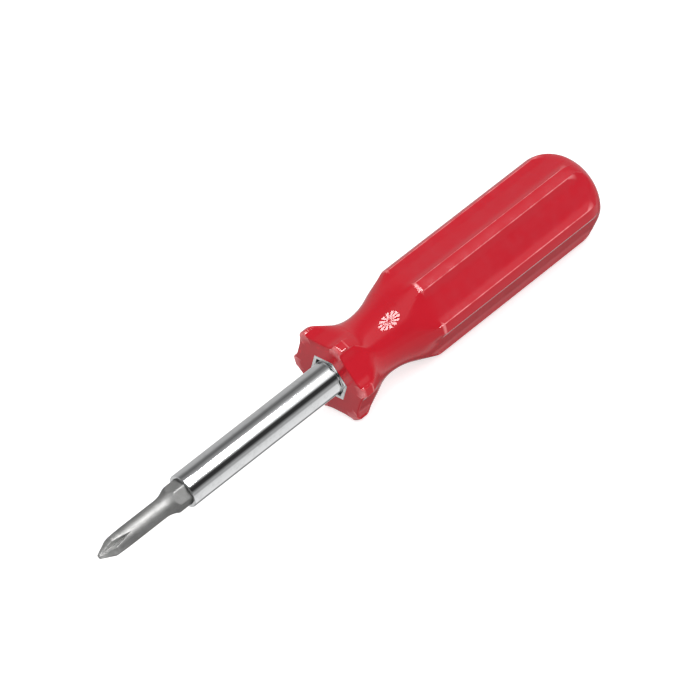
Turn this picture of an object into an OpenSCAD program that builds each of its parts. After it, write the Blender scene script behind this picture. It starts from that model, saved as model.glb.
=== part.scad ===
// Six-in-one screwdriver: a fluted plastic handle, a reversible steel barrel and two double-ended bits.
//
// The axis of the tool lies along X, with the working tip towards +X and +Z up. The origin is on that
// axis, in the plane of the collar's front face. Lengths are in millimetres.

/* [Handle] */
// Radius of the grip over its lands
grip_r = 15.3; // [14:0.1:18.5]
// Radius of the collar over its lobes
collar_r = 15.9; // [13.3:0.1:19.1]
// Width of the collar's level rim
collar_w = 3.8; // [3:0.1:5.6]
// Radius of the rounding on the collar's front edge
collar_edge = 1.2; // [0.4:0.1:1.5]
// Radius of the neck at its narrowest place
neck_r = 10.3; // [9:0.1:11.4]
// Distance from the front face to the neck's narrowest place
neck_x = 17.6; // [16.5:0.1:22]
// Radius of the hollow curve from the collar down to the neck
neck_fall = 16.5; // [10:0.5:18]
// Radius of the hollow curve from the neck up to the grip
neck_rise = 24; // [16:0.5:28]
// Distance from the front face to the start of the grip
grip_x = 34.8; // [32:0.2:42]
// Radius of the rounding round the butt
butt_r = 11.6; // [6:0.2:12.5]
// Wall left between the end of the bore and the butt
butt_wall = 7.4; // [2:0.1:12]
// Distance from the axis to the floor of each flute
flute_d = 13.3; // [12:0.1:13.6]
// Width of the flat floor of each flute
flute_w = 7; // [4:0.2:9]
// Angle that the top of one land spans round the axis
land_deg = 13; // [8:1:20]

/* [Handle insert] */
// Wall of the hexagonal steel sleeve in the handle's mouth
insert_wall = 1.1; // [0.5:0.05:1.2]
// Length of the sleeve
insert_len = 14; // [11:0.5:20]
// Depth of the turned chamfer at the mouth of the sleeve
insert_lead = 0.3; // [0.1:0.05:0.5]

/* [Barrel] */
// Outer radius of the barrel
barrel_r = 5.55; // [5.2:0.05:5.7]
// Length of the barrel in front of the handle
barrel_out = 60; // [50:0.2:72]
// Rounding on the rims at both mouths of the barrel
rim_edge = 0.3; // [0.1:0.05:0.4]
// Depth of the lead-in chamfer at the mouth of each bit socket
mouth_lead = 0.5; // [0.2:0.1:0.7]
// Width across the flats of the hexagonal drive in the middle of the barrel
drive_af = 11.6; // [11.3:0.1:14]
// Length of the hexagonal drive
drive_len = 8; // [5:0.1:10]
// Depth of the front of the drive below the handle's front face
drive_set = 0; // [0:0.1:2]
// Length of the turned chamfer on each end of the drive
drive_lead = 1.3; // [0.8:0.1:2]
// Length of the solid web between the barrel's two sockets
web_len = 12; // [8:0.5:14]

/* [Large bit] */
// Width across the flats of the large bit, 5/16 inch
large_af = 7.94; // [7:0.02:8.2]
// Length of the hexagon in the middle of the large bit
large_hex = 18; // [15:0.5:22]
// Length of that hexagon that sits in the barrel
large_seat = 13.9; // [11:0.1:14.5]
// Length of each arm of the large bit, from hexagon to tip
large_arm = 29.1; // [24:0.1:35]
// Radius of the large bit's round shanks
large_shank_r = 3.1; // [2.6:0.05:3.4]
// Length of the flare between shank and hexagon on the large bit
large_flare = 5; // [3:0.1:7]
// Thickness of the large slotted tip
large_blade_t = 1.1; // [0.8:0.1:1.6]

/* [Small bit] */
// Width across the flats of the small bit, 1/4 inch
small_af = 6.35; // [5.5:0.02:6.8]
// Length of the hexagon in the middle of the small bit
small_hex = 16; // [14:0.5:20]
// Length of that hexagon that sits in the barrel
small_seat = 12; // [10:0.5:13.5]
// Length of each arm of the small bit, from hexagon to tip
small_arm = 24; // [20:0.2:29]
// Radius of the small bit's round shanks
small_shank_r = 2.4; // [2:0.05:2.7]
// Length of the flare between shank and hexagon on the small bit
small_flare = 4.2; // [3:0.1:6]
// Thickness of the small slotted tip
small_blade_t = 0.9; // [0.6:0.1:1.2]

/* [Detents] */
// Radius of the ball in the barrel's drive
barrel_ball_r = 1.19; // [0.9:0.01:1.4]
// Radius of the ball in the large bit
large_ball_r = 0.8; // [0.6:0.01:0.95]
// Radius of the ball in the small bit
small_ball_r = 0.6; // [0.5:0.01:0.75]
// Number of turns in each detent spring
spring_turns = 4; // [3:1:6]

/* [Fits] */
// Clearance on each side between a bit's hexagon and its socket
bit_fit = 0.06; // [0.04:0.01:0.1]
// Clearance on each side between the barrel's drive and the steel sleeve
drive_fit = 0.08; // [0.05:0.01:0.1]
// Radial clearance between the barrel and the sleeve's round hole
guide_fit = 0.09; // [0.05:0.01:0.1]
// Radial clearance between the barrel and the handle's bore
bore_gap = 0.35; // [0.3:0.05:0.6]
// Width of the round ledge on which a bit's flare seats, outside the flats of its hexagon
ledge_out = 0.18; // [0.1:0.02:0.25]
// Gap left where a flare or a chamfer rests on its ledge
seat_gap = 0.03; // [0.02:0.01:0.05]
// Radial clearance round a detent ball in its hole
ball_fit = 0.04; // [0.02:0.01:0.08]
// Gap between a detent ball and the wall it presses on
ball_gap = 0.01; // [0.01:0.005:0.02]
// Space kept behind the longest tip in the handle's bore
tip_gap = 0.5; // [0.3:0.1:2]

/* [Hidden] */

SIDES = 6;
HALF = 180 / SIDES;
ARC_STEPS = 10;
ROUND = 96;
CUT = 1;

// Places along the axis, from the front of the tool to the back
large_hex_rear = barrel_out - large_seat;
large_mid = large_hex_rear + large_hex / 2;
large_tip = large_mid + large_hex / 2 + large_arm;
drive_front = -drive_set;
drive_rear = drive_front - drive_len;
drive_mid = (drive_front + drive_rear) / 2;
barrel_half = barrel_out + drive_set;
barrel_rear = drive_rear - barrel_half;
small_hex_front = barrel_rear + small_seat;
small_mid = small_hex_front - small_hex / 2;
small_tip = small_mid - small_hex / 2 - small_arm;

// With the barrel turned round, the longer of the two bits lies in the handle
longest_out = max(large_tip - barrel_out, barrel_rear - small_tip);
bore_depth = -barrel_rear + longest_out + tip_gap;
handle_len = bore_depth + butt_wall;
bore_r = barrel_r + bore_gap;

// Steel sleeve and its seat for the drive
socket_af = drive_af + 2 * drive_fit;
insert_af = socket_af + 2 * insert_wall;
guide_r = barrel_r + guide_fit;
drive_corner = drive_af / 2 / cos(HALF);
chamfer_slope = drive_lead / (drive_corner - barrel_r);
sleeve_seat = -drive_rear - (guide_r - barrel_r) * chamfer_slope + seat_gap;

// Bores behind the two bit sockets, and how deep the sockets run
large_bore_r = large_af / 2 + ledge_out;
small_bore_r = small_af / 2 + ledge_out;
large_corner = large_af / 2 / cos(HALF);
small_corner = small_af / 2 / cos(HALF);
large_socket = large_seat + seat_gap
    + flare_drop(large_bore_r, large_shank_r, large_corner, large_flare);
small_socket = small_seat + seat_gap
    + flare_drop(small_bore_r, small_shank_r, small_corner, small_flare);

// Detents: place along the axis and height of each ball's centre above the axis
barrel_ball_z = drive_af / 2 + drive_fit - ball_gap - barrel_ball_r;
large_ball_x = large_hex_rear + large_seat / 2;
large_ball_z = large_af / 2 + bit_fit - ball_gap - large_ball_r;
small_ball_x = small_hex_front - small_seat / 2;
small_ball_z = small_af / 2 + bit_fit - ball_gap - small_ball_r;

// A detent spring is 1.8 ball radii long and 0.6 ball radii wide
SPRING_LEN = 1.8;
SPRING_R = 0.6;
WIRE_R = 0.13;
BALL_SEAT = 0.8;

// Shape of the tips
POINT_DEG = 25;
POINT_FLAT = 0.24;
WING_CORE = 0.2;
WING_RUN = 3.7;
BLADE_RUN = 3.2;

ACETATE = [0.80, 0.11, 0.16];
CHROME = [0.86, 0.87, 0.88];
SATIN_STEEL = [0.55, 0.55, 0.56];
BRIGHT_STEEL = [0.78, 0.78, 0.79];

// Radius of a flare's hollow arc, from its length and its rise
function arc_r(run, rise) = (run * run + rise * rise) / (2 * rise);

// How far behind the hexagon's end a flare has shrunk to the given radius
function flare_drop(r, shank_r, corner, flare) =
    let(big = arc_r(flare, corner - shank_r), up = r - shank_r)
    flare - sqrt(2 * big * up - up * up);

// A hollow curve's radius, kept small enough for the curve to end before the given point
function hollow_r(run, rise, r) = min(r, 0.98 * (run * run + rise * rise) / (2 * rise));

// Slope of the line from a point to the bottom of a circle that stands on the origin
function tangent_deg(run, rise, r) =
    let(away = sqrt(max(0, run * run + (rise - r) * (rise - r) - r * r)))
    atan2(rise - r, run) + 90 - atan2(away, r);

// Points of an arc, from one angle to another
function arc(cx, cy, r, from, to) =
    [for (i = [0:ARC_STEPS]) let(a = from + (to - from) * i / ARC_STEPS) [cx + r * cos(a), cy + r * sin(a)]];

// Half outline of the turned handle: [radius, distance behind the front face]
function handle_outline() =
    let(front_r = hollow_r(neck_x - collar_w, collar_r - neck_r, neck_fall))
    let(rear_r = hollow_r(grip_x - neck_x, grip_r - neck_r, neck_rise))
    let(front = tangent_deg(neck_x - collar_w, collar_r - neck_r, front_r))
    let(rear = tangent_deg(grip_x - neck_x, grip_r - neck_r, rear_r))
    let(fall = arc(neck_x, neck_r + front_r, front_r, -90 - front, -90))
    let(rise = arc(neck_x, neck_r + rear_r, rear_r, -90, -90 + rear))
    let(neck = concat(fall, [for (i = [1:ARC_STEPS]) rise[i]]))
    let(edge = arc(collar_edge, collar_r - collar_edge, collar_edge, 180, 90))
    let(butt = arc(handle_len - butt_r, grip_r - butt_r, butt_r, 90, 0))
    concat([[0, 0]], edge, [[collar_w, collar_r]], neck, [[grip_x, grip_r]], butt, [[handle_len, 0]]);

// One ring of a coil spring's wire
function wire_ring(mid_r, wire_r, a, z, sides) =
    [for (j = [0:sides - 1]) let(b = 360 * j / sides, r = mid_r + wire_r * cos(b))
        [r * cos(a), r * sin(a), z + wire_r * sin(b)]];

// Turns local +Z to the tool's +X, local X to +Y and local Y to +Z
module along_x() {
    rotate([90, 0, 90]) children();
}

module hexagon(af) {
    circle(r = af / 2 / cos(HALF), $fn = SIDES);
}

module hex_bar(af, from, to) {
    translate([0, 0, from]) linear_extrude(to - from) hexagon(af);
}

module round_bar(r, from, to) {
    translate([0, 0, from]) cylinder(r = r, h = to - from, $fn = ROUND);
}

// Bar of the handle's cross-section: six lands with a flat-floored flute between each pair
module fluted_section() {
    bar_r = max(collar_r, grip_r) + CUT;
    edge_deg = HALF - land_deg / 2;
    edge = grip_r * [cos(edge_deg), sin(edge_deg)];
    out = 2 * bar_r / grip_r;
    difference() {
        circle(r = bar_r, $fn = ROUND);
        for (i = [0:SIDES - 1]) rotate(HALF * (2 * i + 1)) polygon([
            [flute_d, -flute_w / 2], [flute_d, flute_w / 2], edge,
            out * edge, [out * edge[0], -out * edge[1]], [edge[0], -edge[1]]
        ]);
    }
}

module handle() {
    color(ACETATE) along_x() difference() {
        intersection() {
            rotate_extrude($fn = ROUND) polygon([for (p = handle_outline()) [p[1], -p[0]]]);
            translate([0, 0, -handle_len - CUT]) linear_extrude(handle_len + 2 * CUT) fluted_section();
        }
        hex_bar(insert_af, -insert_len, CUT);
        round_bar(bore_r, -bore_depth, CUT);
    }
}

module handle_insert() {
    color(BRIGHT_STEEL) along_x() difference() {
        hex_bar(insert_af, -insert_len, 0);
        hex_bar(socket_af, -sleeve_seat, CUT);
        round_bar(guide_r, -insert_len - CUT, CUT);
        translate([0, 0, -insert_lead]) cylinder(
            r1 = socket_af / 2, r2 = socket_af / 2 + insert_lead + CUT, h = insert_lead + CUT, $fn = ROUND
        );
    }
}

// Body of revolution that shapes the barrel: tube, chamfered drive, tube
module barrel_blank() {
    front = barrel_out;
    rear = barrel_rear;
    crown = drive_corner + drive_lead / chamfer_slope;
    rotate_extrude($fn = ROUND) polygon(concat(
        [[0, front]],
        [for (p = arc(front - rim_edge, barrel_r - rim_edge, rim_edge, 0, 90)) [p[1], p[0]]],
        [[barrel_r, drive_front], [drive_corner, drive_front - drive_lead]],
        [[crown, drive_mid]],
        [[drive_corner, drive_rear + drive_lead], [barrel_r, drive_rear]],
        [for (p = arc(rear + rim_edge, barrel_r - rim_edge, rim_edge, 90, 180)) [p[1], p[0]]],
        [[0, rear]]
    ));
}

// Lead-in chamfer at a mouth on the origin, for a socket that runs back from it
module socket_mouth(socket) {
    translate([0, 0, -mouth_lead])
        cylinder(r1 = socket / 2, r2 = socket / 2 + mouth_lead + CUT, h = mouth_lead + CUT, $fn = ROUND);
}

module barrel() {
    large_socket_af = large_af + 2 * bit_fit;
    small_socket_af = small_af + 2 * bit_fit;
    web_front = drive_mid + web_len / 2;
    web_rear = drive_mid - web_len / 2;
    color(CHROME) along_x() difference() {
        intersection() {
            barrel_blank();
            union() {
                round_bar(barrel_r, barrel_rear, barrel_out);
                hex_bar(drive_af, drive_rear, drive_front);
            }
        }
        hex_bar(large_socket_af, barrel_out - large_socket, barrel_out + CUT);
        translate([0, 0, barrel_out]) socket_mouth(large_socket_af);
        round_bar(large_bore_r, web_front, barrel_out);
        hex_bar(small_socket_af, barrel_rear - CUT, barrel_rear + small_socket);
        translate([0, 0, barrel_rear]) mirror([0, 0, 1]) socket_mouth(small_socket_af);
        round_bar(small_bore_r, barrel_rear, web_rear);
        ball_hole(drive_mid, barrel_ball_z, barrel_ball_r, drive_af / 2);
    }
}

// Point with four wings, at the far end of a shank that reaches up to the given length
module cross_tip(shank_r, tip) {
    flat = POINT_FLAT * shank_r;
    point = (shank_r - flat) / tan(POINT_DEG);
    run = WING_RUN * shank_r;
    core = WING_CORE * shank_r;
    lean = atan2(shank_r - core, run);
    difference() {
        union() {
            round_bar(shank_r, 0, tip - point);
            translate([0, 0, tip - point]) cylinder(r1 = shank_r, r2 = flat, h = point, $fn = ROUND);
        }
        for (i = [0:3]) rotate(90 * i + 45) translate([core, 0, tip]) rotate([0, -lean, 0])
            translate([0, 0, -2 * run]) linear_extrude(3 * run) rotate(-45) square(2 * shank_r);
    }
}

// Flat blade, at the far end of a shank that reaches up to the given length
module slot_tip(shank_r, tip, thick) {
    run = BLADE_RUN * shank_r;
    difference() {
        round_bar(shank_r, 0, tip);
        for (side = [0, 1]) rotate(180 * side) translate([0, shank_r + CUT, 0]) rotate([90, 0, -90])
            linear_extrude(4 * shank_r, center = true) polygon([
                [0, tip - run - CUT], [CUT, tip - run], [shank_r + CUT - thick / 2, tip],
                [shank_r + CUT - thick / 2, tip + CUT], [0, tip + CUT]
            ]);
    }
}

// Flare from a shank up to the corners of the hexagon that stands on the origin
module flare(shank_r, corner, hex_end, run) {
    big = arc_r(run, corner - shank_r);
    sweep = asin(run / big);
    rotate_extrude($fn = ROUND) polygon(concat(
        [[0, 0], [corner, 0], [corner, hex_end]],
        [for (p = arc(hex_end + run, shank_r + big, big, -90 - sweep, -90)) [p[1], p[0]]],
        [[0, hex_end + run]]
    ));
}

// Double-ended bit, with its hexagon's middle at the origin and its four-winged tip along +Z
module double_bit(af, hex_len, arm, shank_r, run, blade_t) {
    corner = af / 2 / cos(HALF);
    end = hex_len / 2;
    tip = end + arm;
    intersection() {
        hex_bar(af, -end - run, end + run);
        union() {
            flare(shank_r, corner + CUT / 100, end, run);
            mirror([0, 0, 1]) flare(shank_r, corner + CUT / 100, end, run);
        }
    }
    cross_tip(shank_r, tip);
    mirror([0, 0, 1]) slot_tip(shank_r, tip, blade_t);
}

// Blind hole for a ball and its spring, drilled towards the axis from the upper flat
module ball_hole(x, z, ball_r, flat) {
    bottom = z - (BALL_SEAT + SPRING_LEN) * ball_r;
    translate([0, flat + CUT, x]) rotate([90, 0, 0])
        cylinder(r = ball_r + ball_fit, h = flat + CUT - bottom, $fn = ROUND);
}

module ball(x, z, ball_r) {
    color(BRIGHT_STEEL) along_x() translate([0, z, x]) sphere(r = ball_r, $fn = ROUND);
}

// Coil spring that stands on the bottom of a ball's hole and carries the ball
module ball_spring(x, z, ball_r) {
    sides = 6;
    per_turn = 12;
    rings = spring_turns * per_turn;
    wire_r = WIRE_R * ball_r;
    mid_r = SPRING_R * ball_r - wire_r;
    low = z - (BALL_SEAT + SPRING_LEN) * ball_r + wire_r;
    rise = SPRING_LEN * ball_r - 2 * wire_r;
    points = [for (i = [0:rings]) each
        wire_ring(mid_r, wire_r, 360 * i / per_turn, low + rise * i / rings, sides)];
    walls = [for (i = [0:rings - 1], j = [0:sides - 1])
        let(k = (j + 1) % sides, a = i * sides, b = a + sides) [a + j, a + k, b + k, b + j]];
    ends = [[for (j = [sides - 1:-1:0]) j], [for (j = [0:sides - 1]) rings * sides + j]];
    color(SATIN_STEEL) translate([x, 0, 0]) polyhedron(points, concat(walls, ends));
}

module barrel_ball() {
    ball(drive_mid, barrel_ball_z, barrel_ball_r);
}

module barrel_spring() {
    ball_spring(drive_mid, barrel_ball_z, barrel_ball_r);
}

module bit_large() {
    color(SATIN_STEEL) along_x() difference() {
        translate([0, 0, large_mid])
            double_bit(large_af, large_hex, large_arm, large_shank_r, large_flare, large_blade_t);
        ball_hole(large_ball_x, large_ball_z, large_ball_r, large_af / 2);
    }
}

module bit_large_ball() {
    ball(large_ball_x, large_ball_z, large_ball_r);
}

module bit_large_spring() {
    ball_spring(large_ball_x, large_ball_z, large_ball_r);
}

module bit_small() {
    color(SATIN_STEEL) along_x() difference() {
        translate([0, 0, small_mid]) mirror([0, 0, 1])
            double_bit(small_af, small_hex, small_arm, small_shank_r, small_flare, small_blade_t);
        ball_hole(small_ball_x, small_ball_z, small_ball_r, small_af / 2);
    }
}

module bit_small_ball() {
    ball(small_ball_x, small_ball_z, small_ball_r);
}

module bit_small_spring() {
    ball_spring(small_ball_x, small_ball_z, small_ball_r);
}

handle();
handle_insert();
barrel();
barrel_ball();
barrel_spring();
bit_large();
bit_large_ball();
bit_large_spring();
bit_small();
bit_small_ball();
bit_small_spring();
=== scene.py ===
"""Looks of a six-in-one screwdriver: a turned acetate handle, a chromed barrel and two reversible bits.

Every piece is a skin of rings round the tool's axis, which lies along X with the working tip towards +X.
Lengths are in metres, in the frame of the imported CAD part.
"""

import math

import bmesh
import bpy
import numpy as np
from mathutils import Matrix, Vector


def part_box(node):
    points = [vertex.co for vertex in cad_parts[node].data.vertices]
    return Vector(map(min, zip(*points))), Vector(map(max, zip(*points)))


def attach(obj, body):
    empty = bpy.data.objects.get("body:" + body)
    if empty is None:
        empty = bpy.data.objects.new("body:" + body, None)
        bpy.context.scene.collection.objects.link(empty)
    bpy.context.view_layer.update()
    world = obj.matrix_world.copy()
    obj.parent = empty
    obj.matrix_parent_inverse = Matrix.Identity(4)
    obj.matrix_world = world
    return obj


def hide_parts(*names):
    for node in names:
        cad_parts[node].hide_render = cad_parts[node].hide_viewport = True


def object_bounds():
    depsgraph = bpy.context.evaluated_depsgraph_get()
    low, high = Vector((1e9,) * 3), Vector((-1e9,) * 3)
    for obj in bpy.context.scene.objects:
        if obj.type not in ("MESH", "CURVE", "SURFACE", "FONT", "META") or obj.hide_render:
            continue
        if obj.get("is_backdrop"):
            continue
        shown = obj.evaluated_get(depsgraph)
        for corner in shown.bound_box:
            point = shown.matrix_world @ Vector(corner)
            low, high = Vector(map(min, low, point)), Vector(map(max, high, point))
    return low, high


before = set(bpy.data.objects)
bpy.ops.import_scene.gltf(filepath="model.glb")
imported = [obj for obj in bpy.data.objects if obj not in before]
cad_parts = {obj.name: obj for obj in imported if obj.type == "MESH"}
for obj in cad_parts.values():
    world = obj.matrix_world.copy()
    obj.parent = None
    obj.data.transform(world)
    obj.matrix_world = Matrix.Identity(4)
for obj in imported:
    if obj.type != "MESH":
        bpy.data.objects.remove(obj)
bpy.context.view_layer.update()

bl_info = {
    "name": "Six-in-one screwdriver",
    "version": (1, 0, 0),
    "blender": (4, 5, 0),
    "location": "3D View > Sidebar > Screwdriver",
    "description": "Builds the visible pieces of a six-in-one screwdriver round its CAD frame",
    "category": "Object",
}

MM = 0.001
SIDES = 6
CORNER = math.pi / SIDES
FULL_TURN = 2 * math.pi
MIX_A, MIX_B, MIX_RESULT = 6, 7, 2

# Nearly all of a noise pattern lies between these two values
FAINT, FULL = 0.35, 0.65
# Steepness of the wall beyond a land's edge, where the collar stands out from the grip
WALL_SLOPE = 5
# Rounding on the corners of every hexagonal bar, the slip between the sleeve and the handle, and the blunting of
# the pocket's mouth
BLUNT, SLIP, POCKET_LIP = 0.00008, 0.00002, 0.00012
# Shape of the tips, as shares of the shank's radius, and half the angle of the point
POINT, POINT_FLAT, WING_CORE, WING_RUN, BLADE_RUN = math.radians(25), 0.24, 0.2, 3.7, 3.2
# How far the ends of a bit are dulled, as a share of the softness of its edges
DULLED = 0.6
# Thickness of a spring's wire as a share of its ball's radius, and the flat part of a turn at each of its ends
WIRE_SHARE, FLAT_TURN = 0.13, 0.6
# The floor's radius, and how far it lies under the lowest piece
FLOOR_RADIUS, FLOOR_DROP = 6, 0.1 * MM

# The room as gloss sees it: bearing round the tool's axis in degrees, 0 level towards the camera's side and 90
# straight up, and how bright it is there. A white ceiling panel stands between a dark wall and a grey slope
ROOM = (
    (-180, 0.42), (-152, 0.6), (-126, 0.6), (-110, 0.17), (-98, 0.2), (-86, 0.85), (-46, 0.78), (-28, 0.72),
    (-20, 0.38), (-8, 0.38), (1, 0.17), (9, 0.03), (29, 0.03), (36, 0.3), (43, 1.05), (78, 1.08), (86, 0.62),
    (95, 0.29), (107, 0.2), (118, 0.12), (131, 0.2), (144, 0.4), (160, 0.46), (180, 0.47),
)
# Soft light from the whole room, and the power of the lamp behind the umbrella
AMBIENT, KEY_WATTS = 0.77, 0.75
# Glow of the floor to the eye alone, which washes out its shadows
FLOOR_GLOW = 0.7
# The umbrella is turned away, so that it looks narrower along the tool
UMBRELLA_TILT, UMBRELLA_GLOW = 0.78, 28.0
# Its ribs, the share of a panel that each side of a rib hides, the share of the radius that the hub hides, and how
# far the hem curves in between two ribs
RIBS, RIB_GAP, HUB, HEM = 12, 0.2, 0.17, 0.09


def linear(code):
    """Linear RGB of an sRGB hex colour."""
    parts = [int(code[i : i + 2], 16) / 255 for i in (0, 2, 4)]
    return tuple(p / 12.92 if p <= 0.04045 else ((p + 0.055) / 1.055) ** 2.4 for p in parts)


def span(node, axis):
    """Length of a CAD node along an axis."""
    low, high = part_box(node)
    return high[axis] - low[axis]


def middle(node):
    """Middle of a CAD node's box."""
    low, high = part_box(node)
    return (low + high) / 2


# ---------------------------------------------------------------- values


def length(name, default, description):
    return bpy.props.FloatProperty(
        name=name, description=description, default=default, min=0.0, precision=5, unit="LENGTH"
    )


def angle(name, default, description):
    return bpy.props.FloatProperty(
        name=name, description=description, default=math.radians(default), subtype="ANGLE"
    )


def colour(name, code, description):
    return bpy.props.FloatVectorProperty(
        name=name, description=description, default=linear(code), size=3, subtype="COLOR", min=0, max=1
    )


class HandleValues(bpy.types.PropertyGroup):
    """Sizes and colours of the red handle"""

    grip_radius: length("Grip radius", 0.0153, "Radius over the lands of the grip")
    collar_radius: length("Collar radius", 0.0159, "Radius over the collar's lobes")
    collar_width: length("Collar width", 0.0038, "Width of the collar's level rim")
    collar_edge: length("Collar edge", 0.0012, "Rounding on the collar's front edge")
    neck_radius: length("Neck radius", 0.0103, "Radius at the narrowest place of the neck")
    neck_depth: length("Neck depth", 0.0176, "Distance from the front face to the narrowest place")
    neck_fall: length("Neck fall", 0.0165, "Radius of the hollow curve from the collar down to the neck")
    neck_rise: length("Neck rise", 0.024, "Radius of the hollow curve from the neck up to the grip")
    grip_depth: length("Grip depth", 0.0348, "Distance from the front face to the start of the grip")
    butt_round: length("Butt rounding", 0.0116, "Radius of the rounding round the butt")
    flute_floor: length("Flute floor", 0.0133, "Distance from the axis to the floor of each flute")
    flute_width: length("Flute width", 0.007, "Width of the flat floor of each flute")
    land: angle("Land", 13, "Angle that the top of a land spans round the axis")
    bore_radius: length("Bore radius", 0.0059, "Radius of the bore that takes the barrel")
    bore_depth: length("Bore depth", 0.1017, "Depth of that bore from the front face")
    land_softness: length("Land softness", 0.00024, "How far the polish has eaten into the edges of a land")
    run_out_softness: length("Run-out softness", 0.0016, "The same where the flutes run out, at neck, collar and butt")
    rim_softness: length("Rim softness", 0.0003, "How far it has eaten into the turned corners")
    flute_softness: length("Flute softness", 0.00035, "Hollow left along the sides of a flute's floor")
    face_softness: length("Face softness", 0.0005, "Rounding where the flutes run out at the front face")
    plastic: colour("Plastic", "C7222F", "Colour of the red acetate")
    bloom: colour("Bloom", "C02F3B", "Colour of the acetate where its polish is dulled by handling")
    # A pale pink painted along the edges of the lands as a highlight
    scuffed: colour("Painted_highlight", "F79598", "Colour of the acetate where its edges are scuffed")


class SleeveValues(bpy.types.PropertyGroup):
    """Sizes and colour of the steel sleeve"""

    wall: length("Wall", 0.0011, "Wall of the hexagonal sleeve")
    seat: length("Seat", 0.00801, "Depth at which the drive comes to rest")
    guide_radius: length("Guide radius", 0.00564, "Radius of the round hole behind the seat")
    lead: length("Lead", 0.0003, "Depth of the turned chamfer at the mouth")
    edge: length("Edge", 0.00012, "Rounding left on the stamped edges by the plating")
    zinc: colour("Zinc", "F8F8F8", "Colour of the bright zinc plating")


class BarrelValues(bpy.types.PropertyGroup):
    """Sizes and colours of the chromed barrel"""

    radius: length("Radius", 0.00555, "Outer radius of the barrel")
    rim: length("Rim", 0.0003, "Rounding on the rims at both mouths")
    drive_length: length("Drive length", 0.008, "Length of the hexagonal drive")
    drive_lead: length("Drive lead", 0.0013, "Length of the turned chamfer on each end of the drive")
    web: length("Web", 0.012, "Length of the solid web between the two sockets")
    front_socket: length("Front socket", 0.01624, "Depth of the large bit's hexagonal socket")
    rear_socket: length("Rear socket", 0.01376, "Depth of the small bit's hexagonal socket")
    fit: length("Fit", 0.00006, "Clearance between each bit and its socket")
    ledge: length("Ledge", 0.00018, "How far the bore behind a socket stands outside its flats")
    mouth: length("Mouth", 0.0005, "Depth of the lead-in chamfer at the mouth of each socket")
    chrome: colour("Chrome", "F2F3F4", "Colour of the chromium plating")
    # A dark shade painted on the hexagonal drive, where it sits in the sleeve
    drive_shade: colour("Drive_shade", "2A2825", "Colour of the greased drive")


class LargeBitValues(bpy.types.PropertyGroup):
    """Sizes of the bit in the barrel's front socket"""

    hexagon: length("Hexagon", 0.018, "Length of the hexagon in the middle of the bit")
    shank_radius: length("Shank radius", 0.0031, "Radius of the round shanks")
    flare: length("Flare", 0.005, "Length of the flare between shank and hexagon")
    blade: length("Blade", 0.0011, "Thickness of the slotted tip")


class SmallBitValues(bpy.types.PropertyGroup):
    """Sizes of the bit in the barrel's rear socket"""

    hexagon: length("Hexagon", 0.016, "Length of the hexagon in the middle of the bit")
    shank_radius: length("Shank radius", 0.0024, "Radius of the round shanks")
    flare: length("Flare", 0.0042, "Length of the flare between shank and hexagon")
    blade: length("Blade", 0.0009, "Thickness of the slotted tip")


class SteelValues(bpy.types.PropertyGroup):
    """Finish of the bits, and the detents that hold them"""

    softness: length("Softness", 0.00008, "How far tumbling has eaten into the edges of the bits")
    ball_gap: length("Ball gap", 0.00004, "Clearance round each detent ball in its hole")
    turns: bpy.props.IntProperty(name="Turns", description="Turns in each detent spring", default=4, min=3, max=6)
    blasted: colour("Blasted steel", "8E8E8D", "Colour of the blasted tool steel")
    worn: colour("Worn steel", "C9C9C8", "Colour of the steel where use has polished it")
    ground: colour("Ground steel", "CFD0D2", "Colour of the ground bearing steel")
    drawn: colour("Drawn wire", "8F8B86", "Colour of the drawn music wire")


class StageValues(bpy.types.PropertyGroup):
    """Places of the camera and of the lights"""

    azimuth: angle("Azimuth", 146.572, "Bearing of the camera round the tool")
    elevation: angle("Elevation", 36.803, "Height of the camera over the horizon")
    roll: angle("Roll", -16.372, "Turn of the camera round its own line of sight")
    distance: length("Distance", 1.3177, "Distance of the camera from the collar's face")
    lens: bpy.props.FloatProperty(
        name="Lens", description="Focal length", default=227.87, subtype="DISTANCE_CAMERA"
    )
    across: length("Across", 0.00637, "How far to the right of the collar's middle the camera aims")
    upward: length("Upward", 0.00822, "How far above the collar's middle the camera aims")
    umbrella_radius: length("Umbrella radius", 0.18, "Radius of the umbrella, measured across the tool")
    umbrella_centre: bpy.props.FloatVectorProperty(
        name="Umbrella centre", description="Place of the umbrella", default=(-0.0585, 0.1768, 0.3685),
        subtype="XYZ", unit="LENGTH",
    )
    floor: colour("Floor", "DCDCDC", "Colour of the matt paint on the floor")


# ---------------------------------------------------------------- meshes


def soft_min(a, b, k):
    """The lesser of two heights, with the corner between them eaten away over k; and how much of a corner it is."""
    near = np.clip(k - np.abs(a - b), 0, None) / k
    return np.minimum(a, b) - near * near * k / 4, near


def soft_max(a, b, k):
    """The greater of two heights, with the hollow between them filled over k."""
    near = np.clip(k - np.abs(a - b), 0, None) / k
    return np.maximum(a, b) + near * near * k / 4


def even_angles(count):
    return np.arange(count) * FULL_TURN / count


def hexagon(across, angles):
    """Radius of a hexagon with a corner at each sixth of a turn, from its width across flats."""
    return across / 2 / np.cos((angles % (2 * CORNER)) - CORNER)


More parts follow.
